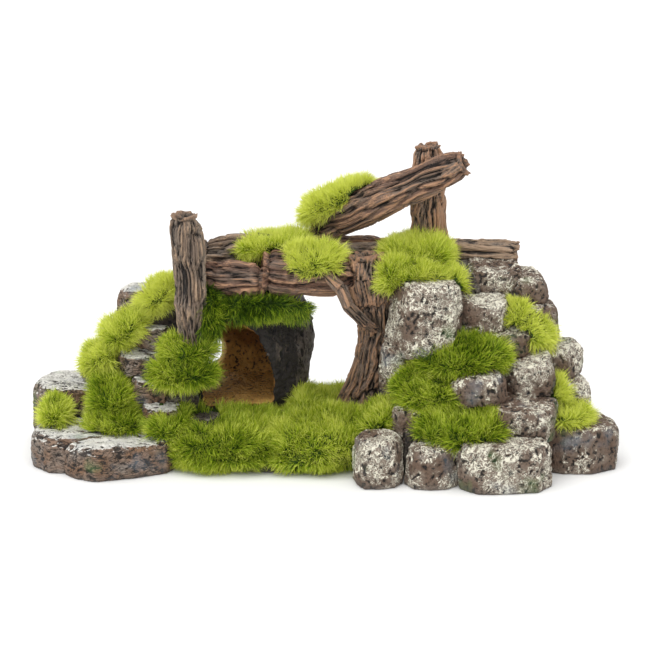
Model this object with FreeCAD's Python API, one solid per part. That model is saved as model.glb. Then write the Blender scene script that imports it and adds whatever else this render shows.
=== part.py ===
import FreeCAD, Part
import math
import os

# Cave and log-bridge ornament for an aquarium: two heaps of stones, a small cave
# under the left end of a log deck, an open passage beside it, posts and a fallen
# log on top, and cut patches of moss. Millimetres, +Z up, the front faces -Y.

os.makedirs("parts", exist_ok=True)

# Driving dimensions
step = 14.5              # one course of stones in the heaps
plate_thickness = 3.0    # resin base plate
bank_height = 5.5        # low bank on the plate, which carries the grass
cave_wall = 5.0          # wall of the cave casting
cave_floor = 20.0        # floor inside the cave
deck_underside = 62.5    # clear height below the front logs
log_radius = 7.0         # an ordinary deck log
moss_mat = 4.5           # moss backing and its dense lower pile
window_radius = 9.0      # round hole in the cave wall
left_end = -114.5        # outer ends of the two heaps
right_end = 114.0
front_edge = -55.0

Vector = FreeCAD.Vector
below_table = Part.makeBox(400, 400, 40, Vector(-200, -200, -40))
placed = {}


def outline(sides, half_length, half_width, phase):
    """Corners of an irregular rounded outline, squarer than an ellipse."""
    corners = []
    for k in range(sides):
        angle = 2 * math.pi * (k + 0.5) / sides
        c = math.cos(angle)
        s = math.sin(angle)
        reach = (abs(c) ** 2.7 + abs(s) ** 2.7) ** (-1 / 2.7)
        reach *= 0.96 + 0.05 * math.sin(3 * angle + phase) + 0.03 * math.cos(5 * angle - 2 * phase)
        corners.append((half_length * reach * c, half_width * reach * s))
    return corners


def solid_of_rings(rings):
    """Closed solid with flat ends through rings of corners."""
    faces = [Part.Face(Part.makePolygon(ring + ring[:1])) for ring in (rings[0], rings[-1])]
    count = len(rings[0])
    for low, high in zip(rings, rings[1:]):
        for k in range(count):
            n = (k + 1) % count
            a, b, c, d = low[k], low[n], high[n], high[k]
            flat = abs((b - a).cross(c - a).normalize().dot(d - a)) < 1e-6
            loops = [[a, b, c, d, a]] if flat else [[a, b, c, a], [a, c, d, a]]
            faces += [Part.Face(Part.makePolygon(loop)) for loop in loops]
    solid = Part.makeSolid(Part.makeShell(faces))
    if solid.Volume < 0:
        solid.reverse()
    return solid


def lay(shape, x, y, z, turn, lean, tip):
    """Turn about the upright axis, lean sideways, tip forward, then carry to its place."""
    shape.rotate(Vector(0, 0, 0), Vector(0, 0, 1), turn)
    shape.rotate(Vector(0, 0, 0), Vector(0, 1, 0), lean)
    shape.rotate(Vector(0, 0, 0), Vector(1, 0, 0), tip)
    shape.translate(Vector(x, y, z))
    return shape


def lump(x, y, z, length, width, height, profile, sides, turn, lean, tip, phase):
    corners = outline(sides, length / 2, width / 2, phase)
    rings = [[Vector(cx * s, cy * s, height * t) for cx, cy in corners] for t, s in profile]
    return lay(solid_of_rings(rings), x, y, z, turn, lean, tip)


def boulder(x, y, z, length, width, height, turn=0, lean=0, tip=0, phase=0):
    """Round-shouldered stone standing on height z."""
    profile = ((0, 0.95), (0.22, 1.0), (0.68, 0.97), (0.91, 0.85), (1.0, 0.66))
    return lump(x, y, z, length, width, height, profile, 10, turn, lean, tip, phase)


def slab(x, y, z, length, width, height, turn=0, lean=0, tip=0, phase=0):
    """Flat-topped stone with a worn edge."""
    profile = ((0, 0.97), (0.25, 1.0), (0.8, 0.98), (1.0, 0.88))
    return lump(x, y, z, length, width, height, profile, 10, turn, lean, tip, phase)


def patch(x, y, z, length, width, turn=0, lean=0, tip=0, phase=0, thickness=moss_mat):
    """Low cushion of moss centred on height z before it is trimmed to what it lies on."""
    profile = ((-0.8, 0.7), (-0.2, 1.0), (0.45, 0.9), (0.8, 0.62))
    return lump(x, y, z, length, width, thickness, profile, 12, turn, lean, tip, phase)


def timber(route, sides=9, phase=0.0):
    """Faceted log through (x, y, z, radius) stations, its section square to the route."""
    points = [Vector(*station[:3]) for station in route]
    rings = []
    for i, (here, station) in enumerate(zip(points, route)):
        along = (points[min(i + 1, len(points) - 1)] - points[max(i - 1, 0)]).normalize()
        side = along.cross(Vector(0.13, 0.95, 0.3)).normalize()
        up = side.cross(along).normalize()
        ring = []
        for k in range(sides):
            angle = 2 * math.pi * k / sides + phase
            reach = station[3] * (1 + 0.07 * math.sin(2 * angle + 3 * phase))
            ring.append(here + side * (reach * math.cos(angle)) + up * (reach * math.sin(angle)))
        rings.append(ring)
    return solid_of_rings(rings)


def place(name, shape):
    """Trim a piece to the table and to those already in place, and keep it under its name."""
    box = shape.BoundBox
    neighbours = [other for other in placed.values() if other.BoundBox.intersect(box)]
    if box.ZMin < 0:
        neighbours.append(below_table)
    if neighbours:
        shape = shape.cut(neighbours)
    shape = max(shape.Solids, key=lambda solid: solid.Volume)
    placed[name] = shape


def lay_left_ground_stones():
    place("left_front_slab", slab(-77, -26, 0, 47, 21, 12.5, turn=20, phase=0.4))
    place("left_corner_slab", slab(left_end + 17.5, -13, 0, 36, 34, 13.5, turn=8, phase=1.9))
    place("left_back_slab", slab(left_end + 15, 12, 0, 32, 34, 25, turn=-6, phase=2.8))
    place("left_rear_boulder", boulder(-81, 33, 0, 38, 30, 26, turn=-14, phase=4.1))


def lay_right_ground_stones():
    place("right_gate_stone", boulder(20.5, -38, 0, 20, 22, 18, turn=4, phase=0.9))
    place("right_front_stone", boulder(41, -38.5, 0, 22, 23, 16.5, turn=-3, phase=2.2))
    place("right_front_slab", slab(68.5, -41.5, 0, 37, 27, 17.5, turn=5, phase=3.3))
    place("right_end_slab", slab(right_end - 17, -14, 0, 36, 36, 17, turn=20, phase=5.0))
    place("right_rear_slab", slab(80, 31, 0, 40, 36, 24, turn=-20, phase=1.2))
    place("right_rear_boulder", boulder(45, 40, 0, 34, 31, 30, turn=8, phase=3.9))


def lay_right_heap():
    """Stones stepping up and back, course by course, from the front row."""
    place("right_gate_upper_stone", boulder(33, -26, 0.9 * step, 15.5, 19, 14, turn=8, phase=2.0))
    place("right_second_slab", slab(75.5, -25, 0.98 * step, 29, 27, 14, turn=-3, lean=2, tip=7, phase=0.3))
    place("right_end_boulder", boulder(95, -2, 1.05 * step, 17, 30, 15.5, turn=12, phase=1.1))
    place("right_trunk_stone", boulder(27.5, -9, 1.9 * step, 13, 20, 18.5, turn=-6, phase=5.2))
    place("right_tongue_stone", boulder(59, -24, 1.88 * step, 23, 21, 11, turn=4, lean=-7, phase=2.6))
    place("right_third_slab", slab(79.5, -12, 1.97 * step, 22, 24, 14, turn=6, lean=-7, tip=8, phase=4.4))
    place("right_shoulder_boulder", boulder(91, 3, 2.1 * step, 20, 26, 13, turn=-10, phase=0.2))
    place("right_fourth_slab", slab(70.5, -4, 2.95 * step, 24, 23, 9.5, turn=-5, tip=7, phase=3.0))
    place("right_side_stone", boulder(82, 7, 3.05 * step, 20, 25, 15, turn=9, phase=1.6))
    place("right_fifth_stone", slab(60.5, -2, 3.5 * step, 22, 22, 13, turn=5, lean=6, tip=9, phase=5.6))
    place("right_great_boulder", boulder(38.5, -9.5, 2.98 * step, 30, 29, 28.5, turn=7, lean=3, phase=0.7))
    place("right_upper_slab", slab(65.5, 11, 4.35 * step, 23, 24, 10.5, turn=-4, lean=3, tip=7, phase=2.4))
    place("right_upper_boulder", boulder(79, 13, 3.85 * step, 18, 25, 13, turn=6, phase=4.8))
    place("right_rear_upper_boulder", boulder(62, 33, 1.75 * step, 34, 25, 30, turn=-12, phase=2.9))


def lay_left_heap():
    place("left_step_one", slab(-63, -10, 0.85 * step, 18, 21, 10.5, turn=6, tip=6, phase=0.8))
    place("left_step_two", slab(-67, -4, 1.62 * step, 18, 22, 9, turn=-5, lean=3, tip=6, phase=3.7))
    place("left_step_three", slab(-72, 1, 2.25 * step, 18, 20, 8.5, turn=4, lean=-3, tip=6, phase=1.5))
    place("left_step_four", slab(-67.5, 7, 2.9 * step, 16, 20, 8.5, turn=8, tip=5, phase=5.1))
    place("left_top_stone", boulder(-71, 11, 3.6 * step, 21, 18, 12, turn=-6, phase=2.1))
    place("left_mouth_ledge", slab(-51, -13, 0.55 * step, 24, 16, 11, turn=-5, phase=4.6))


def lay_timbers():
    post_foot = 2.55 * step
    place("left_post", timber(((-51, -9, post_foot, 4.6), (-51.8, -9, 52, 5.1), (-51.8, -9.5, 68, 5.9),
                               (-52.4, -10, 82, 6.4), (-53.4, -10.5, 97.5, 5.5)), 10, 0.3))
    low = deck_underside
    place("front_left_log", timber(((-48.5, 1, low + 8.5, 6.0), (-38, 0, low + 7.4, log_radius),
                                    (-24, -0.5, low + 6.2, 6.6)), 10, 0.8))
    place("front_right_log", timber(((-23, 0.5, low + 9.8, 9.2), (-12, 0.5, low + 9.0, 9.0),
                                     (3, 1, low + 8.6, 8.2), (12, 2, low + 9.0, 7.0)), 10, 1.4))
    place("middle_log", timber(((-47, 16, low + 13.2, 5.6), (-36, 15.5, low + 13.4, log_radius),
                                (-20, 15, low + 12.0, 7.4), (-2, 15.5, low + 9.2, 7.6),
                                (31, 16, low + 9.2, 7.2)), 10, 0.1))
    place("back_log", timber(((-46, 31.5, low + 5.4, 6.8), (-20, 30.5, low + 8.2, 7.8), (6, 30, low + 8.8, 8.0),
                              (36, 30, low + 8.0, 7.4)), 10, 2.0))
    place("trunk", timber(((11, 13, bank_height, 9.5), (14.5, 11, 20, 7.0), (18.0, 8, 36, 5.9),
                           (19.8, 5, 50, 6.2), (17.8, 2, 61, 8.6), (16.5, 1, 71, 9.6), (16, 1, 79, 7.6)), 10, 0.5))
    place("root_branch", timber(((0.5, -6.8, 73.5, 2.1), (6.4, -10.4, 68.6, 2.4), (9.2, -10.6, 61.8, 2.3),
                                 (15.8, -7.6, 54.2, 2.2), (20.2, -2.6, 50.2, 1.9)), 7, 0.2))


def lay_top_timbers():
    place("rear_post", timber(((41, 26, 4.7 * step, 8.6), (41.5, 25.5, 82, 7.4), (41.3, 25, 100, 5.9),
                               (40.6, 25, 117.0, 5.5)), 10, 0.9))
    place("fallen_log", timber(((-3.5, 27.5, 83.3, 6.4), (14, 22, 92.8, 7.2), (36, 15.5, 104.2, 6.4),
                                (54, 9, 113.4, 5.3)), 10, 0.4))
    place("plank_end", timber(((47, 20, 75.2, 5.6), (62, 20, 75.6, 5.6), (75.6, 19.5, 74.8, 5.0)), 6, 0.55))


def lay_base_plate():
    middle_x = -14
    middle_y = 12
    corners = outline(16, 50, 41.5, 0.6)
    levels = ((0, 1.0), (plate_thickness, 1.0), (bank_height, 0.86))
    rings = [[Vector(middle_x + cx * s, middle_y + cy * s, z) for cx, cy in corners] for z, s in levels]
    place("base_plate", solid_of_rings(rings))


def lay_cave():
    """Hollow casting: a mouth at the front, a round window at the left rear."""
    middle_x = -33.5
    middle_y = 20.5
    half_length = 28.5
    half_width = 29.5
    top = deck_underside - 1.5

    def rings(inset, levels):
        corners = outline(14, half_length - inset, half_width - inset, 1.3)
        return [[Vector(middle_x + cx * s, middle_y + cy * s, z) for cx, cy in corners] for z, s in levels]

    outer_levels = ((plate_thickness, 0.88), (17, 0.9), (30, 0.98), (39, 1.0), (50, 0.96), (top, 0.82))
    inner_levels = ((cave_floor, 0.88), (24, 0.94), (36, 1.0), (48, 0.9), (top - cave_wall, 0.66))
    shell = solid_of_rings(rings(0, outer_levels))
    shell = shell.cut(solid_of_rings(rings(cave_wall, inner_levels)))
    arch = ((-47, cave_floor), (-19.8, cave_floor), (-19.5, 30), (-21.5, 40), (-26.5, 49), (-34, 53.5),
            (-42, 52), (-47.5, 45))
    corners = [Vector(x, front_edge, z) for x, z in arch]
    mouth = Part.Face(Part.makePolygon(corners + corners[:1])).extrude(Vector(0, middle_y - front_edge, 0))
    shell = shell.cut(mouth)
    axis = Vector(-0.42, 0.9, 0.02)
    window = Part.makeCylinder(window_radius, 30, Vector(middle_x - 8.2, middle_y + 5, 28.0), axis)
    shell = shell.cut(window)
    place("cave", shell)


def lay_heap_cores():
    """Rough resin mass that each heap of stones is set in."""
    left = boulder(-76, 11, 0.4, 46, 34, 36, phase=0.5).fuse([
        boulder(-62, -1, 0.4, 26, 26, 41, phase=2.5),
        boulder(-72, 14, 26, 30, 26, 24, phase=1.0),
        boulder(-64, 13, 44, 22, 24, 19, phase=3.1),
    ])
    place("left_heap_core", left)
    right = boulder(57, 6, 0.4, 66, 66, 33, phase=0.8).fuse([
        boulder(54, 9, 27, 58, 50, 32, phase=1.9),
        boulder(46, 14, 50, 44, 38, 23.5, phase=4.2),
        boulder(44, -22, 0.4, 40, 34, 26, phase=2.7),
        boulder(30, 0, 0.4, 24, 32, 24, phase=1.3),
    ])
    place("right_heap_core", right)


def grow_turf():
    lawn = bank_height + 8.0
    front = patch(-38.5, -15, bank_height + 4.2, 60, 38, turn=-3, tip=9, phase=0.3, thickness=11)
    place("front_turf", front.fuse([
        patch(-26, -3, lawn, 50, 32, phase=1.1),
        patch(-60, -17, 16, 20, 25, tip=14, lean=3, phase=1.9, thickness=7),
    ]))
    bank = patch(0, -17, bank_height + 4.2, 52, 38, turn=8, tip=10, phase=2.3, thickness=11)
    place("centre_turf", bank.fuse([
        patch(19.5, -18, 18.5, 22, 30, turn=6, lean=-34, phase=0.6),
        patch(4, 8, lawn - 2, 44, 46, turn=-3, phase=1.7, thickness=6),
        patch(5, 32, bank_height + 2, 54, 42, phase=2.4, thickness=5),
        patch(-8.5, 6, 17, 13, 36, lean=38, phase=0.8, thickness=6),
    ]))


def grow_left_moss():
    place("left_peak_moss", patch(-65, 5, 62, 20, 18, lean=-36, tip=14, phase=0.2, thickness=6))
    upper = patch(-78, 2, 49.5, 22, 17, lean=-40, tip=20, phase=1.4, thickness=6)
    lower = patch(-88, 0.5, 37.5, 15, 15, lean=-28, tip=20, phase=2.2, thickness=6)
    place("left_slope_moss", upper.fuse(lower))
    place("left_edge_moss", patch(-105, -8.5, 18.5, 11.5, 18, turn=-12, tip=28, phase=0.9))
    upper = patch(-83, -8.5, 25, 18, 21, tip=46, phase=1.8, thickness=6)
    lower = patch(-81.5, -15, 14.5, 25, 19, tip=22, phase=2.9, thickness=6)
    place("left_front_moss", upper.fuse(lower))
    upper = patch(-53.5, -12.5, 44.5, 21, 14, lean=6, tip=42, phase=0.4, thickness=5)
    lower = patch(-54.5, -16, 36.5, 27, 14, tip=40, phase=1.3, thickness=5)
    place("post_foot_moss", upper.fuse(lower))


def grow_arch_moss():
    side = patch(-45.5, -8, 58, 13, 24, tip=80, phase=2.0, thickness=5)
    fringe = patch(-25.5, -6, 59.5, 41, 9, lean=-2, tip=72, phase=0.7, thickness=5)
    place("arch_moss", side.fuse(fringe))


def grow_deck_moss():
    left = patch(-21, 13, 79.5, 31, 20, lean=-3, phase=0.9)
    place("deck_left_moss", left.fuse(patch(-15, 27, 77, 32, 17, phase=2.6)))
    right = patch(-4.5, -2.5, 77.5, 25, 18, tip=30, lean=2, phase=1.6, thickness=6)
    place("deck_right_moss", right.fuse(patch(6, 15, 77, 28, 22, phase=0.3)))
    place("fallen_log_moss", patch(5, 24, 95.5, 34, 16, lean=-27, tip=6, phase=2.1, thickness=6))


def grow_right_moss():
    top = patch(36, 11, 77.5, 31, 28, tip=4, phase=1.2, thickness=6)
    front = patch(31, -5.5, 72.5, 25, 17, tip=36, lean=4, phase=0.5, thickness=6)
    side = patch(46.5, -2, 70, 18, 20, tip=20, lean=14, phase=0.9, thickness=5)
    place("right_top_moss", top.fuse([front, side]))
    upper = patch(74, -4, 56.5, 13, 14, lean=8, tip=40, phase=0.8, thickness=5)
    lower = patch(81.5, -6, 50.5, 16, 16, lean=28, tip=42, phase=2.8, thickness=5)
    place("right_shoulder_moss", upper.fuse(lower))
    upper = patch(53, -19, 44.5, 39, 21, tip=42, lean=4, phase=2.4, thickness=5.5)
    lower = patch(40, -25, 32.5, 28, 22, tip=38, phase=1.0, thickness=5.5)
    place("right_bank_moss", upper.fuse(lower))
    place("right_low_moss", patch(53, -35, 20.5, 40, 25, tip=28, lean=2, phase=0.1, thickness=6))
    upper = patch(85.5, -15, 29, 19, 18, lean=12, tip=38, phase=1.9, thickness=5)
    lower = patch(94, -19.5, 20, 21, 18, lean=8, tip=20, phase=0.6, thickness=5)
    place("right_end_moss", upper.fuse(lower))


lay_left_ground_stones()
lay_right_ground_stones()
lay_right_heap()
lay_left_heap()
lay_timbers()
lay_cave()
lay_base_plate()
lay_heap_cores()
lay_top_timbers()
grow_turf()
grow_left_moss()
grow_arch_moss()
grow_deck_moss()
grow_right_moss()

whole = Part.makeCompound(list(placed.values())).BoundBox
home = Vector(-(whole.XMin + whole.XMax) / 2, -(whole.YMin + whole.YMax) / 2, -whole.ZMin)
for name, shape in placed.items():
    shape.translate(home)
    shape.exportStep("parts/" + name + ".step")
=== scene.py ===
import math
import bmesh
import bpy
import numpy as np
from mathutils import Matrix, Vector
from mathutils.bvhtree import BVHTree


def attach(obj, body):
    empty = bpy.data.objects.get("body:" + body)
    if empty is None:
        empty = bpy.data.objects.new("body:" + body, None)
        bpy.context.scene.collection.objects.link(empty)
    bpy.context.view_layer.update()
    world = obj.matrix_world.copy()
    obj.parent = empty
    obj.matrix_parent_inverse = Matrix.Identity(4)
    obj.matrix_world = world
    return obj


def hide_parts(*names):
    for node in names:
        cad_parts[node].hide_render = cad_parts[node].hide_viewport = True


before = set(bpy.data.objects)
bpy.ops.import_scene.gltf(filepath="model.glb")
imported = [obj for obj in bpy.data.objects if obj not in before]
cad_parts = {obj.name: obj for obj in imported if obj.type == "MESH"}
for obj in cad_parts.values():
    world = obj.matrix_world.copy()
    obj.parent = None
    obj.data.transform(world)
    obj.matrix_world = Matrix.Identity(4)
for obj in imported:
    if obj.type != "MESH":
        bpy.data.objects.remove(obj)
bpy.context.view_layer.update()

MM = 0.001
chance = np.random.default_rng(21)

# Settings that many paint nodes share.
ADD = {"operation": "ADD"}
SUBTRACT = {"operation": "SUBTRACT"}
MULTIPLY = {"operation": "MULTIPLY"}
MULTIPLY_ADD = {"operation": "MULTIPLY_ADD"}
SMOOTH = {"interpolation_type": "SMOOTHSTEP"}
COLOURS = {"data_type": "RGBA"}

LEFT_STONES = ("left_front_slab", "left_corner_slab", "left_back_slab", "left_rear_boulder",
               "left_step_one", "left_step_two", "left_step_three", "left_step_four", "left_top_stone")
RIGHT_STONES = ("right_gate_stone", "right_front_stone", "right_front_slab", "right_end_slab",
                "right_rear_slab", "right_rear_boulder", "right_gate_upper_stone", "right_second_slab",
                "right_end_boulder", "right_trunk_stone", "right_tongue_stone", "right_third_slab",
                "right_shoulder_boulder", "right_fourth_slab", "right_side_stone", "right_fifth_stone",
                "right_great_boulder", "right_upper_slab", "right_upper_boulder",
                "right_rear_upper_boulder")
CORES = ("left_heap_core", "right_heap_core")
# Each patch of moss and how bright it is, darker below zero: partly the patch's own dye, partly
# painted light and shade, with the high patches lighter and the moss under the logs darker.
MOSS = {"front_turf": -0.15, "centre_turf": 0.1, "left_peak_moss": 1.3, "left_slope_moss": 0.45,
        "left_edge_moss": 0.3, "left_front_moss": -0.1, "post_foot_moss": -0.25, "arch_moss": -0.7,
        "deck_left_moss": 0.4, "deck_right_moss": 0.6, "fallen_log_moss": 0.95, "right_top_moss": 0.35,
        "right_shoulder_moss": 0.55, "right_bank_moss": -0.3, "right_low_moss": -0.15,
        "right_end_moss": 0.65}
# Middle lines of the two bent timbers, in mm.
TRUNK_SPINE = ((11, 13, 8), (14.5, 11, 20), (18, 8, 36), (19.8, 5, 50), (17.8, 2, 61), (16.5, 1, 71),
               (16, 1, 79))
BRANCH_SPINE = ((0.5, -6.8, 73.5), (6.4, -10.4, 68.6), (9.2, -10.6, 61.8), (15.8, -7.6, 54.2),
                (20.2, -2.6, 50.2))
# The cave's middle, its round window and the radius of the window's pale rim, in mm.
CAVE_MIDDLE = (-33, 21, 28)
WINDOW_MIDDLE = (-50, 40, 28)
RIM_RADIUS = 9.5


# ---------------------------------------------------------------- relief

def scramble(cell, seed):
    """A settled number from 0 to 1 for each whole-number cell."""
    h = cell[..., 0] * 73856093 ^ cell[..., 1] * 19349663 ^ cell[..., 2] * 83492791 ^ seed * 83492791 * 7
    h = (h ^ (h >> 13)) * 1274126177 & 0xFFFFFFFF
    h = (h ^ (h >> 16)) * 668265263 & 0xFFFFFFFF
    return ((h ^ (h >> 15)) & 0xFFFFFF) / 0x1000000


def swell(points, size, seed=0):
    """Smooth lumps about size across, from -1 to 1."""
    place = points / size
    cell = np.floor(place).astype(np.int64)
    part = place - cell
    ease = part * part * part * (part * (part * 6 - 15) + 10)
    total = np.zeros(len(points))
    for dx in (0, 1):
        for dy in (0, 1):
            for dz in (0, 1):
                corner = cell + (dx, dy, dz)
                slope = np.stack([scramble(corner, seed + k) * 2 - 1 for k in (1, 2, 3)], -1)
                weight = np.prod(np.abs(1 - np.array((dx, dy, dz)) - ease), axis=-1)
                total += weight * np.sum(slope * (part - (dx, dy, dz)), axis=-1)
    return np.clip(total * 1.6, -1, 1)


def ridges(points, size, seed=0):
    """Sharp raised lines between smooth hollows, from -1 to 1."""
    return 1 - 2.6 * np.abs(swell(points, size, seed))


# ---------------------------------------------------------------- meshes

def dense_copy(node, grid, rounding):
    """Mesh of a CAD solid with an even fine grid and its corners worn round."""
    shell = bmesh.new()
    shell.from_mesh(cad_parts[node].data)
    bmesh.ops.remove_doubles(shell, verts=shell.verts, dist=1e-6)
    rough = bpy.data.meshes.new(node + "_rough")
    shell.to_mesh(rough)
    shell.free()
    piece = bpy.data.objects.new(node + "_rough", rough)
    bpy.context.scene.collection.objects.link(piece)
    even = piece.modifiers.new("even", "REMESH")
    even.mode = "VOXEL"
    even.voxel_size = grid
    worn = piece.modifiers.new("worn", "SMOOTH")
    worn.factor = 0.5
    worn.iterations = rounding
    view = bpy.context.evaluated_depsgraph_get()
    mesh = bpy.data.meshes.new_from_object(piece.evaluated_get(view))
    bpy.data.objects.remove(piece)
    return mesh


def positions(mesh):
    flat = np.empty(len(mesh.vertices) * 3)
    mesh.vertices.foreach_get("co", flat)
    return flat.reshape(-1, 3)


def outward(mesh):
    flat = np.empty(len(mesh.vertices) * 3)
    mesh.vertex_normals.foreach_get("vector", flat)
    return flat.reshape(-1, 3)


def press(mesh, points, depth):
    """Moves every point along its own outward direction, never through the table."""
    moved = points + outward(mesh) * depth[:, None]
    moved[:, 2] = np.maximum(moved[:, 2], 0)
    mesh.vertices.foreach_set("co", moved.ravel())
    mesh.update()


def note(mesh, name, values):
    """Stores one number, or three, on every point for the paint to read."""
    kind = "FLOAT" if values.ndim == 1 else "FLOAT_VECTOR"
    key = "value" if values.ndim == 1 else "vector"
    mesh.attributes.new(name, kind, "POINT").data.foreach_set(key, values.astype(np.float32).ravel())


def stand(mesh, name, nodes, slot, *paints):
    """Puts a finished mesh in the scene in place of its CAD solid."""
    mesh.materials.clear()
    for paint in paints:
        mesh.materials.append(paint)
    mesh.shade_smooth()
    piece = bpy.data.objects.new(name, mesh)
    bpy.context.scene.collection.objects.link(piece)
    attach(piece, "root")
    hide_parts(*nodes)
    return piece


# ---------------------------------------------------------------- paint

def paint(hex_colour):
    """An sRGB hex colour as linear RGBA."""
    value = hex_colour.lstrip("#")
    rgb = [int(value[i:i + 2], 16) / 255 for i in (0, 2, 4)]
    return [c / 12.92 if c <= 0.04045 else ((c + 0.055) / 1.055) ** 2.4 for c in rgb] + [1.0]


class Recipe:
    """A material being mixed: add() places one node with its settings and links."""

    def __init__(self, name):
        self.material = bpy.data.materials.new(name)
        self.material.use_nodes = True
        self.tree = self.material.node_tree
        self.tree.nodes.clear()

    def add(self, kind, settings=None, **inputs):
        node = self.tree.nodes.new(kind)
        for key, value in (settings or {}).items():
            setattr(node, key, value)
        for key, value in inputs.items():
            socket = node.inputs[int(key[1:]) if key[0] == "_" else key.replace("_", " ")]
            if isinstance(value, bpy.types.NodeSocket):
                self.tree.links.new(value, socket)
            else:
                socket.default_value = value
        return node

    def number(self, name):
        return self.add("ShaderNodeAttribute", {"attribute_name": name}).outputs["Fac"]

    def done(self, surface):
        self.add("ShaderNodeOutputMaterial", Surface=surface)
        return self.material


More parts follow.
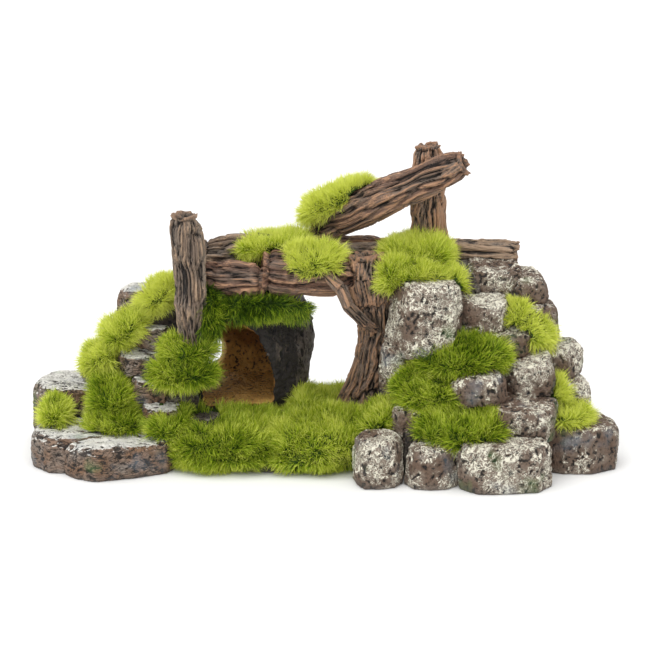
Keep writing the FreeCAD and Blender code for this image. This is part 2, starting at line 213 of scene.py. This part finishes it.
def stone_paint(name, base, stain_and_shade, wash, brush, brushing, top_brush_and_light=0.8, veins=1.5, weave=(1, 1, 1), pitting=4.6,
                tinting=0.4):
    """Painted casting resin: matte base coat, dark wash in the pits, pale paint over ridges and tops.

    Positive veins are raised curling lines that catch the pale paint, negative ones are cracks that
    hold the wash. The pale paint on tops is partly a painted highlight, the darker grey at the foot is
    painted shade, and on the cave the darker stain colour also carries painted light and shade.
    """
    mix = Recipe(name)
    place = mix.add("ShaderNodeTexCoord").outputs["Object"]
    woven = mix.add("ShaderNodeVectorMath", MULTIPLY, _0=place, _1=weave).outputs[0]
    relief = mix.number("relief")
    crest = mix.number("crest")
    tone_and_light = mix.number("tone_and_light")
    grit = mix.add("ShaderNodeTexNoise", Vector=place, Scale=1500, Detail=4, Roughness=0.6).outputs["Fac"]
    speck = mix.add("ShaderNodeTexNoise", Vector=woven, Scale=640, Detail=2, Roughness=0.6).outputs["Fac"]
    patchy = mix.add("ShaderNodeTexNoise", Vector=place, Scale=80, Detail=3, Roughness=0.6).outputs["Fac"]
    worm = 0.0
    for scale, thick in ((250, 0.036), (430, 0.046), (760, 0.035)):
        curl = mix.add("ShaderNodeTexNoise", Vector=woven, Scale=scale, Detail=1.5, Roughness=0.5,
                       Distortion=1.0).outputs["Fac"]
        curl = mix.add("ShaderNodeMath", {"operation": "ABSOLUTE"}, _0=mix.add(
            "ShaderNodeMath", SUBTRACT, _0=curl, _1=0.5).outputs[0]).outputs[0]
        line = mix.add("ShaderNodeMapRange", SMOOTH, Value=curl, From_Min=0.0,
                       From_Max=thick, To_Min=1.0, To_Max=0.0).outputs[0]
        worm = mix.add("ShaderNodeMath", {"operation": "MAXIMUM"}, _0=worm, _1=line).outputs[0]
    # Base coat against the darker stain colour, by noise and by each point's tone. The tone is random on
    # the stones, but on the cave it is painted light and shade, so there the darker colour is painted
    # shade.
    patches_and_light = mix.add("ShaderNodeMapRange", Value=mix.add(
        "ShaderNodeMath", ADD, _0=patchy, _1=tone_and_light).outputs[0], From_Min=0.38,
        From_Max=0.62).outputs[0]
    raised = mix.add("ShaderNodeMath", MULTIPLY, _0=worm, _1=mix.add(
        "ShaderNodeMath", MULTIPLY_ADD, _0=patches_and_light, _1=0.8 * veins,
        _2=0.25 * veins).outputs[0]).outputs[0]
    fine = mix.add("ShaderNodeMath", MULTIPLY_ADD, _0=grit, _1=1.6, _2=-0.8).outputs[0]
    height = mix.add("ShaderNodeMath", ADD, _0=relief, _1=fine).outputs[0]
    ground = mix.add("ShaderNodeMix", COLOURS, _0=patches_and_light, _6=paint(stain_and_shade), _7=paint(base)).outputs[2]
    hole = mix.add("ShaderNodeMath", MULTIPLY_ADD, _0=speck, _1=pitting, _2=height).outputs[0]
    hole = mix.add("ShaderNodeMath", MULTIPLY_ADD, _0=worm, _1=min(veins, 0.0), _2=hole).outputs[0]
    pit = mix.add("ShaderNodeMapRange", SMOOTH, Value=hole,
                  From_Min=pitting / 2 - 0.95, From_Max=pitting / 2 - 0.1, To_Min=0.97,
                  To_Max=0.0).outputs[0]
    washed = mix.add("ShaderNodeMix", COLOURS, _0=pit, _6=ground, _7=paint(wash)).outputs[2]
    # Faces turned up take more pale paint: partly dry-brush landing on the tops, partly a painted highlight
    # where the top light falls.
    facing = mix.add("ShaderNodeNewGeometry").outputs["Normal"]
    upward = mix.add("ShaderNodeSeparateXYZ", Vector=facing).outputs[2]
    upward_brush_and_light = mix.add("ShaderNodeMapRange", SMOOTH, Value=upward, From_Min=0.2,
                    From_Max=0.9, To_Min=0.0, To_Max=top_brush_and_light).outputs[0]
    catch = mix.add("ShaderNodeMath", MULTIPLY_ADD, _0=height, _1=0.75, _2=upward_brush_and_light).outputs[0]
    catch = mix.add("ShaderNodeMath", MULTIPLY_ADD, _0=patches_and_light, _1=0.4, _2=catch).outputs[0]
    catch = mix.add("ShaderNodeMath", MULTIPLY_ADD, _0=crest, _1=0.25, _2=catch).outputs[0]
    catch = mix.add("ShaderNodeMath", ADD, _0=catch, _1=raised).outputs[0]
    dragged = mix.add("ShaderNodeMapRange", SMOOTH, Value=catch, From_Min=1.08,
                      From_Max=1.5, To_Min=0.0, To_Max=brushing).outputs[0]
    # Painted shade at the foot: in the lowest few millimetres above the table the pale paint fades and the
    # coat turns darker grey.
    foot = mix.add("ShaderNodeMath", MULTIPLY_ADD, _0=patchy, _1=0.008, _2=mix.add(
        "ShaderNodeSeparateXYZ", Vector=place).outputs[2]).outputs[0]
    rim = mix.add("ShaderNodeMapRange", SMOOTH, Value=foot, From_Min=0.004,
                  From_Max=0.0062, To_Min=0.3, To_Max=1.0).outputs[0]
    dragged = mix.add("ShaderNodeMath", MULTIPLY, _0=dragged, _1=rim).outputs[0]
    coat = mix.add("ShaderNodeMix", COLOURS, _0=dragged, _6=washed, _7=paint(brush)).outputs[2]
    tint = mix.add("ShaderNodeTexNoise", Vector=place, Scale=70, Detail=2).outputs["Color"]
    tints = mix.add("ShaderNodeSeparateXYZ", Vector=tint)
    for k, colour in ((0, "#54803f"), (1, "#7f8e9b")):
        spots = mix.add("ShaderNodeMapRange", Value=tints.outputs[k], From_Min=0.6, From_Max=0.72,
                        To_Min=0.0, To_Max=tinting).outputs[0]
        coat = mix.add("ShaderNodeMix", COLOURS, _0=spots, _6=coat, _7=paint(colour)).outputs[2]
    # Painted shade: the coat turns darker grey towards the table.
    foot_shade = mix.add("ShaderNodeMath", MULTIPLY_ADD, _0=rim, _1=-0.6, _2=0.6).outputs[0]
    coat = mix.add("ShaderNodeMix", COLOURS, _0=foot_shade, _6=coat, _7=paint("#56524f")).outputs[2]
    lift = mix.add("ShaderNodeMath", MULTIPLY_ADD, _0=worm, _1=0.4 * veins, _2=hole).outputs[0]
    bump = mix.add("ShaderNodeBump", Height=lift, Strength=0.85, Distance=0.0004).outputs[0]
    dull = mix.add("ShaderNodeMapRange", Value=height, From_Min=-1, From_Max=1.5, To_Min=0.58,
                   To_Max=0.86).outputs[0]
    body = mix.add("ShaderNodeBsdfPrincipled", Base_Color=coat, Roughness=dull, Normal=bump)
    return mix.done(body.outputs[0])


def wood_paint(name, base, groove, ridge, grey, brushing):
    """Resin cast from bark: brown coat, near-black wash along the grain, tan paint dragged over ridges."""
    mix = Recipe(name)
    relief = mix.number("relief")
    tone_and_light = mix.number("tone_and_light")
    cut = mix.number("cut")
    grain = mix.add("ShaderNodeAttribute", {"attribute_name": "grain"}).outputs["Vector"]
    place = mix.add("ShaderNodeTexCoord").outputs["Object"]
    streak = mix.add("ShaderNodeTexNoise", Vector=grain, Scale=1250, Detail=3,
                     Roughness=0.65).outputs["Fac"]
    broad = mix.add("ShaderNodeTexNoise", Vector=grain, Scale=230, Detail=3, Roughness=0.55).outputs["Fac"]
    grit = mix.add("ShaderNodeTexNoise", Vector=place, Scale=1700, Detail=3).outputs["Fac"]
    fine = mix.add("ShaderNodeMath", MULTIPLY_ADD, _0=streak, _1=6.5, _2=-3.15).outputs[0]
    height = mix.add("ShaderNodeMath", ADD, _0=relief, _1=fine).outputs[0]
    height = mix.add("ShaderNodeMath", MULTIPLY_ADD, _0=grit, _1=1.0, _2=height).outputs[0]
    # Greyer, lighter coat where broad noise and the piece's tone are high; the high tone of the rear post
    # and trunk is partly painted light that offsets the shade they sit in.
    weathering_and_light = mix.add("ShaderNodeMapRange", Value=mix.add(
        "ShaderNodeMath", ADD, _0=broad, _1=tone_and_light).outputs[0], From_Min=0.38, From_Max=0.7).outputs[0]
    ground = mix.add("ShaderNodeMix", COLOURS, _0=weathering_and_light, _6=paint(base), _7=paint(grey)).outputs[2]
    pit = mix.add("ShaderNodeMapRange", SMOOTH, Value=height, From_Min=-0.9,
                  From_Max=0.35, To_Min=0.97, To_Max=0.0).outputs[0]
    washed = mix.add("ShaderNodeMix", COLOURS, _0=pit, _6=ground, _7=paint(groove)).outputs[2]
    catch = mix.add("ShaderNodeMath", MULTIPLY_ADD, _0=broad, _1=1.6, _2=height).outputs[0]
    catch = mix.add("ShaderNodeMath", MULTIPLY_ADD, _0=tone_and_light, _1=1.6, _2=catch).outputs[0]
    dragged = mix.add("ShaderNodeMapRange", SMOOTH, Value=catch, From_Min=1.5,
                      From_Max=2.7, To_Min=0.0, To_Max=brushing).outputs[0]
    coat = mix.add("ShaderNodeMix", COLOURS, _0=dragged, _6=washed, _7=paint(ridge)).outputs[2]
    broken = mix.add("ShaderNodeMath", MULTIPLY, _0=cut, _1=mix.add(
        "ShaderNodeMapRange", Value=height, From_Min=0.3, From_Max=1.4, To_Min=0.0,
        To_Max=0.35).outputs[0]).outputs[0]
    coat = mix.add("ShaderNodeMix", COLOURS, _0=broken, _6=coat, _7=paint("#a0745c")).outputs[2]
    bump = mix.add("ShaderNodeBump", Height=height, Strength=0.95, Distance=0.0005).outputs[0]
    body = mix.add("ShaderNodeBsdfPrincipled", Base_Color=coat, Roughness=mix.add(
        "ShaderNodeMapRange", Value=height, From_Min=-1, From_Max=2.0, To_Min=0.5, To_Max=0.74).outputs[0],
        Normal=bump)
    return mix.done(body.outputs[0])


def grass_paint():
    """Static grass, dyed nylon fibre: darker at the glued root, yellow-green at the cut tip.

    A little light comes through it. The darker root is painted shade down in the pile, and the
    lighter tip is partly painted light.
    """
    mix = Recipe("static_grass_fibre")
    along = mix.number("along")
    shade = mix.number("shade")
    place = mix.add("ShaderNodeTexCoord").outputs["Object"]
    drift = mix.add("ShaderNodeTexNoise", Vector=place, Scale=75, Detail=2).outputs["Fac"]
    # Root-to-tip colour, random drift and each fibre's shade number, which carries its patch's painted
    # light and shade; the darkening towards the root is painted shade.
    reach = mix.add("ShaderNodeMath", MULTIPLY_ADD, _0=drift, _1=1.5, _2=along).outputs[0]
    reach = mix.add("ShaderNodeMath", MULTIPLY_ADD, _0=shade, _1=0.95, _2=reach).outputs[0]
    ramp = mix.add("ShaderNodeValToRGB", Fac=mix.add(
        "ShaderNodeMapRange", Value=reach, From_Min=0.95, From_Max=2.3).outputs[0])
    stops = ramp.color_ramp.elements
    stops[0].position = 0.0
    stops[0].color = paint("#2f4a0c")
    stops[1].position = 1.0
    stops[1].color = paint("#e4ea72")
    for spot, colour in ((0.25, "#6f9018"), (0.5, "#a6bd2c"), (0.75, "#ccd748")):
        stops.new(spot).color = paint(colour)
    strand = mix.add("ShaderNodeBsdfPrincipled", Base_Color=ramp.outputs[0], Roughness=0.5,
                     Specular_IOR_Level=0.4)
    through = mix.add("ShaderNodeBsdfTranslucent", Color=ramp.outputs[0])
    both = mix.add("ShaderNodeMixShader", _0=0.32, _1=strand.outputs[0], _2=through.outputs[0])
    return mix.done(both.outputs[0])


def grass_mat_paint():
    """The dense root of the grass and its glued backing."""
    mix = Recipe("grass_root_mat")
    place = mix.add("ShaderNodeTexCoord").outputs["Object"]
    pile = mix.add("ShaderNodeTexNoise", Vector=place, Scale=1400, Detail=4, Roughness=0.7).outputs["Fac"]
    # Dark greens of the root mat: partly its own colour, partly painted shade under the fibres.
    ramp = mix.add("ShaderNodeValToRGB", Fac=pile)
    stops = ramp.color_ramp.elements
    stops[0].position = 0.35
    stops[0].color = paint("#1c2a07")
    stops[1].position = 0.68
    stops[1].color = paint("#46640f")
    bump = mix.add("ShaderNodeBump", Height=pile, Strength=0.9, Distance=0.0006).outputs[0]
    body = mix.add("ShaderNodeBsdfPrincipled", Base_Color=ramp.outputs[0], Roughness=0.85, Normal=bump)
    return mix.done(body.outputs[0])


# ---------------------------------------------------------------- stones and cave

def worn_stone(points, seed, strength, stretch=(1, 1, 1)):
    """Height of an eroded stone face in millimetres, its paint-catching crests and its small relief."""
    bend = np.stack([swell(points, 5, seed + k) for k in (11, 12, 13)], -1) * 1.4
    place = (points + bend) * stretch
    patch = np.clip(0.6 + 0.9 * swell(points, 12, seed + 50), 0.2, 1)
    dents = swell(points, 15, seed + 70)
    chips = swell(points, 5, seed + 75)
    worms = np.clip(1 - np.abs(swell(place, 3.0, seed)) / 0.24, 0, 1)
    small_worms = np.clip(1 - np.abs(swell(place, 1.9, seed + 30)) / 0.26, 0, 1)
    holes = np.clip(-swell(place, 1.9, seed + 90) - 0.12, 0, 0.5)
    detail = patch * (0.5 * worms + 0.4 * small_worms) - 2.0 * holes - 0.05
    crest = np.maximum(worms, 0.7 * small_worms)
    return strength * (1.25 * dents + 0.4 * chips + 0.6 * detail), crest, detail


def cast_stone(node, seed, paints, slot, grid=0.44, strength=1.0, rounding=3, tone_and_light=0.0, stretch=(1, 1, 1)):
    mesh = dense_copy(node, grid * MM, rounding)
    points = positions(mesh)
    depth, crest, detail = worn_stone(points / MM, seed, strength, stretch)
    foot = np.clip(1 - points[:, 2] / MM / 3, 0, 1)
    press(mesh, points, (depth * (1 - 0.6 * foot) + 0.4 * foot) * MM)
    note(mesh, "relief", detail)
    note(mesh, "crest", crest)
    note(mesh, "tone_and_light", np.full(len(points), tone_and_light))
    return stand(mesh, node + "_painted", (node,), slot, *paints)


def build_stones():
    grey = stone_paint("grey_stone_paint", "#8f8274", "#715b4b", "#221f1d", "#f4efdc", 0.96, top_brush_and_light=0.6,
                       veins=1.6)
    brown = stone_paint("brown_stone_paint", "#95897e", "#87674e", "#2c2521", "#e8e6de", 0.92, top_brush_and_light=1.55,
                        veins=-0.9, weave=(0.45, 0.8, 1.25), pitting=2.6)
    rubble = stone_paint("rubble_paint", "#544d47", "#43382f", "#1b1816", "#a39b8b", 0.5)
    for k, node in enumerate(RIGHT_STONES):
        cast_stone(node, 100 + 7 * k, (grey,), "stone_resin",
                   tone_and_light=0.04 if node == "right_great_boulder" else chance.uniform(-0.08, 0.06),
                   stretch=(1.15, 1.15, 0.8))
    for k, node in enumerate(LEFT_STONES):
        cast_stone(node, 400 + 7 * k, (brown,), "stone_resin", tone_and_light=chance.uniform(-0.06, 0.04),
                   stretch=(0.55, 1.25, 1.25))
    for k, node in enumerate(CORES + ("left_mouth_ledge",)):
        cast_stone(node, 700 + 7 * k, (rubble,), "stone_resin", grid=0.8, strength=1.3)
    cast_stone("base_plate", 760, (rubble,), "base_resin", grid=0.8, strength=0.35, rounding=2)


def build_cave():
    outside = stone_paint("cave_rock_paint", "#6b6056", "#221c18", "#0c0a09", "#b5afa4", 0.5, veins=0.5,
                          tinting=0.0)
    inside = stone_paint("cave_lining_paint", "#c9984e", "#8a5a22", "#38220e", "#dcae64", 0.35, veins=0.5,
                         tinting=0.0)
    mesh = dense_copy("cave", 0.7 * MM, 6)
    points = positions(mesh)
    middle = np.array(CAVE_MIDDLE) * MM
    facing = np.sum(outward(mesh) * (points - middle), axis=1)
    depth, crest, detail = worn_stone(points / MM, 800, 1.5)
    lining = facing < 0
    depth[lining] = 0.55 * swell(points[lining] / MM, 8, 830) + 0.25 * detail[lining]
    press(mesh, points, depth * MM)
    note(mesh, "relief", detail * np.where(lining, 0.5, 1.0))
    window = np.array(WINDOW_MIDDLE) * MM
    reach = np.linalg.norm((points - window)[:, (0, 2)], axis=1) / MM
    right_rear = (points[:, 0] > window[0]) * (points[:, 1] > 30 * MM)
    rim = np.clip(1 - np.abs(reach - RIM_RADIUS) / 3.5, 0, 1) * right_rear
    note(mesh, "crest", crest * np.where(lining, 0.2, 0.5) + 4 * rim)
    # Painted light and shade in the cave's tone: outside, faces turned to the right are painted lighter and
    # faces turned to the front darker; inside, the lining is painted darker towards the roof.
    face = outward(mesh)
    roof_shade = np.clip((points[:, 2] / MM - 21) / 16, 0, 1)
    shade = 0.5 * np.clip(face[:, 0] - 0.35, 0, 1) - 0.35 * np.clip(-face[:, 1], 0, 1) - 0.08
    note(mesh, "tone_and_light", np.where(lining, 0.2 - 0.4 * roof_shade, shade))
    cave = stand(mesh, "cave_painted", ("cave",), "cave_resin", outside, inside)
    corners = np.empty(len(mesh.polygons) * 4, dtype=np.int32)
    mesh.polygons.foreach_get("vertices", corners)
    mesh.polygons.foreach_set("material_index", lining[corners.reshape(-1, 4)[:, 0]].astype(np.int32))
    return cave


# ---------------------------------------------------------------- timbers

def straight_spine(points):
    """Two ends of the long axis of a straight log."""
    middle = points.mean(axis=0)
    axis = np.linalg.svd(points - middle, full_matrices=False)[2][0]
    reach = (points - middle) @ axis
    return np.stack([middle + axis * reach.min(), middle + axis * reach.max()])


def unroll(points, spine):
    """Distance along the spine, offset from it, and the spine's direction, at every point."""
    best = np.full(len(points), 1e9)
    along = np.zeros(len(points))
    offset = np.zeros_like(points)
    heading = np.zeros_like(points)
    run = 0.0
    for start, end in zip(spine, spine[1:]):
        step = end - start
        length = np.linalg.norm(step)
        axis = step / length
        reach = np.clip((points - start) @ axis, 0, length)
        gap = points - (start + reach[:, None] * axis)
        far = np.linalg.norm(gap, axis=1)
        nearer = far < best
        best[nearer] = far[nearer]
        along[nearer] = (run + reach)[nearer]
        offset[nearer] = gap[nearer]
        heading[nearer] = axis
        run += length
    return along, offset, heading


def cast_timber(node, seed, wood, spine=None, grid=0.44, depth_mm=1.0, tone_and_light=0.0, knots=(), furrow_mm=2.2,
                rounding=24, taper_mm=0.8):
    """A log with furrows running along it and hollow, splintered ends."""
    mesh = dense_copy(node, grid * MM, rounding)
    points = positions(mesh) / MM
    spine = straight_spine(points) if spine is None else np.array(spine, dtype=float)
    along, offset, heading = unroll(points, spine)
    wave = np.stack([swell(points, 14, seed + k) for k in (1, 2, 3)], -1) * 1.4
    grain = offset + wave + heading * (along * 0.06)[:, None]
    furrow = np.abs(swell(grain, furrow_mm, seed + 10))
    thin = np.abs(swell(grain, furrow_mm * 0.55, seed + 20))
    lumps = swell(points, 13, seed + 30)
    normal = outward(mesh)
    cut = np.clip((np.abs(np.sum(normal * heading, axis=1)) - 0.62) / 0.25, 0, 1)
    side = 1 - cut
    groove = np.clip(1 - furrow / 0.24, 0, 1)
    crack = np.clip(1 - thin / 0.2, 0, 1)
    detail = side * (0.6 * np.clip((furrow - 0.2) / 0.4, 0, 1) - 1.0 * groove - 0.6 * crack + 0.15)
    reach = np.linalg.norm(offset, axis=1)
    hollow = np.clip(1 - reach / max(reach.max() * 0.72, 1), 0, 1)
    splinter = ridges(offset + wave, 3.4, seed + 50)
    detail = detail + cut * (1.5 * np.clip(splinter, -1.5, 0.8) - 1.6 * hollow)
    end = np.clip(1 - np.minimum(along, along.max() - along) / 4, 0, 1)
    chipped = end * side * np.clip(0.35 + swell(points, 4, seed + 60), 0, 1)
    detail = detail - 1.1 * chipped
    height = depth_mm * (1.1 * detail + 0.8 * lumps - 1.5 * chipped) - taper_mm * side * end ** 2
    for spot, size in knots:
        gap = np.linalg.norm(points - np.array(spot), axis=1) / size
        height = height + 0.9 * np.exp(-((gap - 1) / 0.35) ** 2) - 0.9 * np.exp(-(gap / 0.5) ** 2)
        detail = detail + 0.6 * np.exp(-((gap - 1) / 0.35) ** 2) - 1.2 * np.exp(-(gap / 0.55) ** 2)
    press(mesh, points * MM, height * MM)
    note(mesh, "relief", detail * 1.3)
    note(mesh, "tone_and_light", np.full(len(points), tone_and_light))
    note(mesh, "cut", cut)
    note(mesh, "grain", grain * MM)
    return stand(mesh, node + "_painted", (node,), "wood_resin", wood)


def build_timbers():
    bark = wood_paint("bark_paint", "#775746", "#18120f", "#cb9c7a", "#8a786a", 0.8)
    grey_bark = wood_paint("weathered_bark_paint", "#745f4e", "#1a1412", "#c0a184", "#8f8174", 0.75)
    cast_timber("left_post", 20, grey_bark, tone_and_light=0.1, furrow_mm=1.7, depth_mm=0.9)
    # The rear post is painted lighter than the other bark logs: partly painted light against the shade it
    # sits in.
    cast_timber("rear_post", 21, bark, tone_and_light=0.55, furrow_mm=1.9)
    cast_timber("fallen_log", 22, bark, tone_and_light=0.12, knots=(((31, 8.5, 103), 1.5),))
    cast_timber("front_left_log", 23, bark, tone_and_light=0.0, knots=(((-30, -6.5, 66), 1.8),), taper_mm=1.6)
    cast_timber("front_right_log", 24, bark, tone_and_light=-0.02, knots=(((-12, -8.5, 73), 2.4),), taper_mm=2.8)
    cast_timber("middle_log", 25, grey_bark, tone_and_light=0.08)
    cast_timber("back_log", 26, bark, tone_and_light=0.0)
    cast_timber("plank_end", 27, grey_bark, tone_and_light=0.75, depth_mm=0.9, rounding=6)
    # The trunk is painted lighter too: partly painted light against the shade it sits in.
    cast_timber("trunk", 28, bark, spine=TRUNK_SPINE, tone_and_light=0.3, rounding=36, furrow_mm=1.7)
    cast_timber("root_branch", 29, bark, spine=BRANCH_SPINE, grid=0.34, depth_mm=0.4, tone_and_light=0.1, rounding=12,
                furrow_mm=1.5)


# ---------------------------------------------------------------- moss

def solid_faces():
    """Search tree of everything the moss lies on."""
    corners = []
    faces = []
    for name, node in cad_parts.items():
        if name not in MOSS:
            start = len(corners)
            corners += [v.co.copy() for v in node.data.vertices]
            faces += [[start + i for i in face.vertices] for face in node.data.polygons]
    return BVHTree.FromPolygons(corners, faces)


def exposed_spots(mesh, ground, density):
    """Random root points on the faces of a moss solid that don't lie on something."""
    mesh.calc_loop_triangles()
    points = positions(mesh)
    triangles = np.array([t.vertices for t in mesh.loop_triangles])
    a, b, c = (points[triangles[:, k]] for k in range(3))
    cross = np.cross(b - a, c - a)
    area = np.linalg.norm(cross, axis=1) / 2
    count = int(area.sum() / MM ** 2 * density)
    pick = chance.choice(len(area), count, p=area / area.sum())
    u = chance.random(count)
    v = chance.random(count)
    over = u + v > 1
    u[over] = 1 - u[over]
    v[over] = 1 - v[over]
    spots = a[pick] + (b[pick] - a[pick]) * u[:, None] + (c[pick] - a[pick]) * v[:, None]
    normals = (cross / np.maximum(2 * area, 1e-15)[:, None])[pick]
    ragged = (0.35 + 1.7 * np.clip(swell(spots / MM, 5, 77) + 0.15, 0, 1)) * MM
    free = np.array([ground.find_nearest(Vector(spot))[3] for spot in spots]) > ragged
    return spots[free], normals[free]


def unit(vectors):
    return vectors / np.maximum(np.linalg.norm(vectors, axis=-1, keepdims=True), 1e-12)


def fibres(spots, normals, middle, length, width, seed, rise):
    """Corner points, faces and per-point notes of bent tapering blades."""
    count = len(spots)
    place = spots / MM
    clump = np.stack([swell(place, 6.5, seed + k) for k in (1, 2, 3)], -1)
    fan = unit(spots - middle)
    lean = unit(normals * 0.8 + fan * 0.3 + clump * 0.6 + (0, 0, rise) + chance.normal(0, 0.3, (count, 3)))
    tuft = 0.35 * swell(place, 4.5, seed + 9) + 0.45 * swell(place, 10, seed + 12)
    long = length * np.clip(1 + tuft, 0.45, 1.7) * chance.uniform(0.6, 1.15, count)
    root = spots - normals * 1.7 * MM
    across = unit(np.cross(lean, chance.normal(0, 1, (count, 3))))
    half = across * (width / 2 * chance.uniform(0.75, 1.2, count))[:, None]
    bend = unit(clump + chance.normal(0, 0.6, (count, 3)) + (0, 0, -0.5)) * long[:, None]
    knee = root + lean * (long * 0.42)[:, None] + bend * 0.03
    neck = root + lean * (long * 0.76)[:, None] + bend * 0.11
    tip = root + lean * long[:, None] + bend * 0.22
    for row in (root, knee, neck, tip):
        row[:, 2] = np.maximum(row[:, 2], chance.uniform(0.3, 0.9) * MM)
    rows = (root - half, root + half, knee - half * 0.92, knee + half * 0.92, neck - half * 0.62,
            neck + half * 0.62, tip)
    corners = np.stack(rows, 1).reshape(-1, 3)
    start = np.arange(count)[:, None] * 7
    quads = np.concatenate([start + (0, 1, 3, 2), start + (2, 3, 5, 4)])
    ends = start + (4, 5, 6)
    along = np.tile((0, 0, 0.42, 0.42, 0.76, 0.76, 1.0), count)
    shade = np.repeat(chance.random(count), 7)
    return corners, quads, ends, along, shade


def mesh_of(name, corners, quads, triangles):
    mesh = bpy.data.meshes.new(name)
    mesh.vertices.add(len(corners))
    mesh.vertices.foreach_set("co", corners.astype(np.float32).ravel())
    loops = np.concatenate([quads.ravel(), triangles.ravel()]).astype(np.int32)
    mesh.loops.add(len(loops))
    mesh.loops.foreach_set("vertex_index", loops)
    starts = np.concatenate([np.arange(len(quads)) * 4, len(quads) * 4 + np.arange(len(triangles)) * 3])
    mesh.polygons.add(len(starts))
    mesh.polygons.foreach_set("loop_start", starts.astype(np.int32))
    mesh.update(calc_edges=True)
    mesh.validate()
    return mesh


def grow(node, ground, seed, paints, density=8.0, length=5.0, width=0.22, light_and_tint=0.0, rise=0.3):
    """A patch of moss: the pressed-down root mat and the fibres standing out of it."""
    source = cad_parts[node].data
    spots, normals = exposed_spots(source, ground, density)
    middle = positions(source).mean(axis=0) - (0, 0, 3 * MM)
    corners, quads, ends, along, shade = fibres(spots, normals, middle, length * MM, width * MM, seed, rise)
    mat = dense_copy(node, 0.9 * MM, 4)
    inner = positions(mat)
    press(mat, inner, (-1.3 + 0.5 * swell(inner / MM, 3.5, seed + 20)) * MM)
    inner = positions(mat)
    loops = np.empty(len(mat.polygons) * 4, dtype=np.int64)
    mat.polygons.foreach_get("vertices", loops)
    mat_quads = loops.reshape(-1, 4) + len(corners)
    patch = mesh_of(node + "_grown", np.concatenate([corners, inner]), np.concatenate([quads, mat_quads]),
                    ends)
    note(patch, "along", np.concatenate([along, np.zeros(len(inner))]))
    # Each fibre's random shade plus its patch's brightness, which is partly painted light and shade.
    note(patch, "shade", np.concatenate([shade + light_and_tint, np.full(len(inner), 0.2)]))
    piece = stand(patch, node + "_grown", (node,), "moss", *paints)
    kinds = np.zeros(len(patch.polygons), dtype=np.int32)
    kinds[len(quads):len(quads) + len(mat_quads)] = 1
    patch.polygons.foreach_set("material_index", kinds)
    bpy.data.meshes.remove(mat)
    return piece


def build_moss():
    paints = (grass_paint(), grass_mat_paint())
    ground = solid_faces()
    for k, (node, light_and_tint) in enumerate(MOSS.items()):
        coarser = {"density": 5.7, "width": 0.26} if node == "centre_turf" else {}
        rise = -0.6 if node == "arch_moss" else 0.3
        grow(node, ground, 900 + 31 * k, paints, light_and_tint=light_and_tint, rise=rise, **coarser)


# ---------------------------------------------------------------- studio

def studio():
    """A pale table, broad soft lights and the camera."""
    half = 3.0
    table = bpy.data.meshes.new("table")
    corners = [(-half, -half, 0), (half, -half, 0), (half, half, 0), (-half, half, 0)]
    table.from_pydata(corners, [], [(0, 1, 2, 3)])
    mix = Recipe("pale_table")
    table.materials.append(mix.done(mix.add("ShaderNodeBsdfPrincipled", Base_Color=paint("#f4f4f3"),
                                            Roughness=0.9).outputs[0]))
    floor = bpy.data.objects.new("table", table)
    floor.location.z = -0.0002
    bpy.context.scene.collection.objects.link(floor)

    world = bpy.data.worlds.new("studio_air")
    world.use_nodes = True
    world.node_tree.nodes["Background"].inputs["Color"].default_value = (1, 1, 1, 1)
    world.node_tree.nodes["Background"].inputs["Strength"].default_value = 1.0
    bpy.context.scene.world = world

    def lamp(name, kind, place, energy, **shape):
        light = bpy.data.lights.new(name, kind)
        light.energy = energy
        for key, value in shape.items():
            setattr(light, key, value)
        stand_in = bpy.data.objects.new(name, light)
        stand_in.location = place
        stand_in.rotation_euler = (Vector((0, 0, 0.05)) - Vector(place)).to_track_quat("-Z", "Y").to_euler()
        bpy.context.scene.collection.objects.link(stand_in)

    lamp("top_diffuser", "SUN", (-0.35, -0.45, 1.6), 1.2, angle=math.radians(60))
    lamp("front_softbox", "AREA", (-0.5, -0.95, 0.45), 1.6, shape="SQUARE", size=0.6)

    camera = bpy.data.objects.new("camera", bpy.data.cameras.new("camera"))
    tilt = math.radians(16)
    away = 1.1
    camera.location = (0, -away * math.cos(tilt), 0.0518 + away * math.sin(tilt))
    camera.rotation_euler = (math.pi / 2 - tilt, 0, 0)
    camera.data.lens = 157.2
    camera.data.clip_start = 0.05
    bpy.context.scene.collection.objects.link(camera)
    bpy.context.scene.camera = camera
    bpy.context.scene.view_settings.view_transform = "Standard"


build_stones()
build_cave()
build_timbers()
build_moss()
studio()
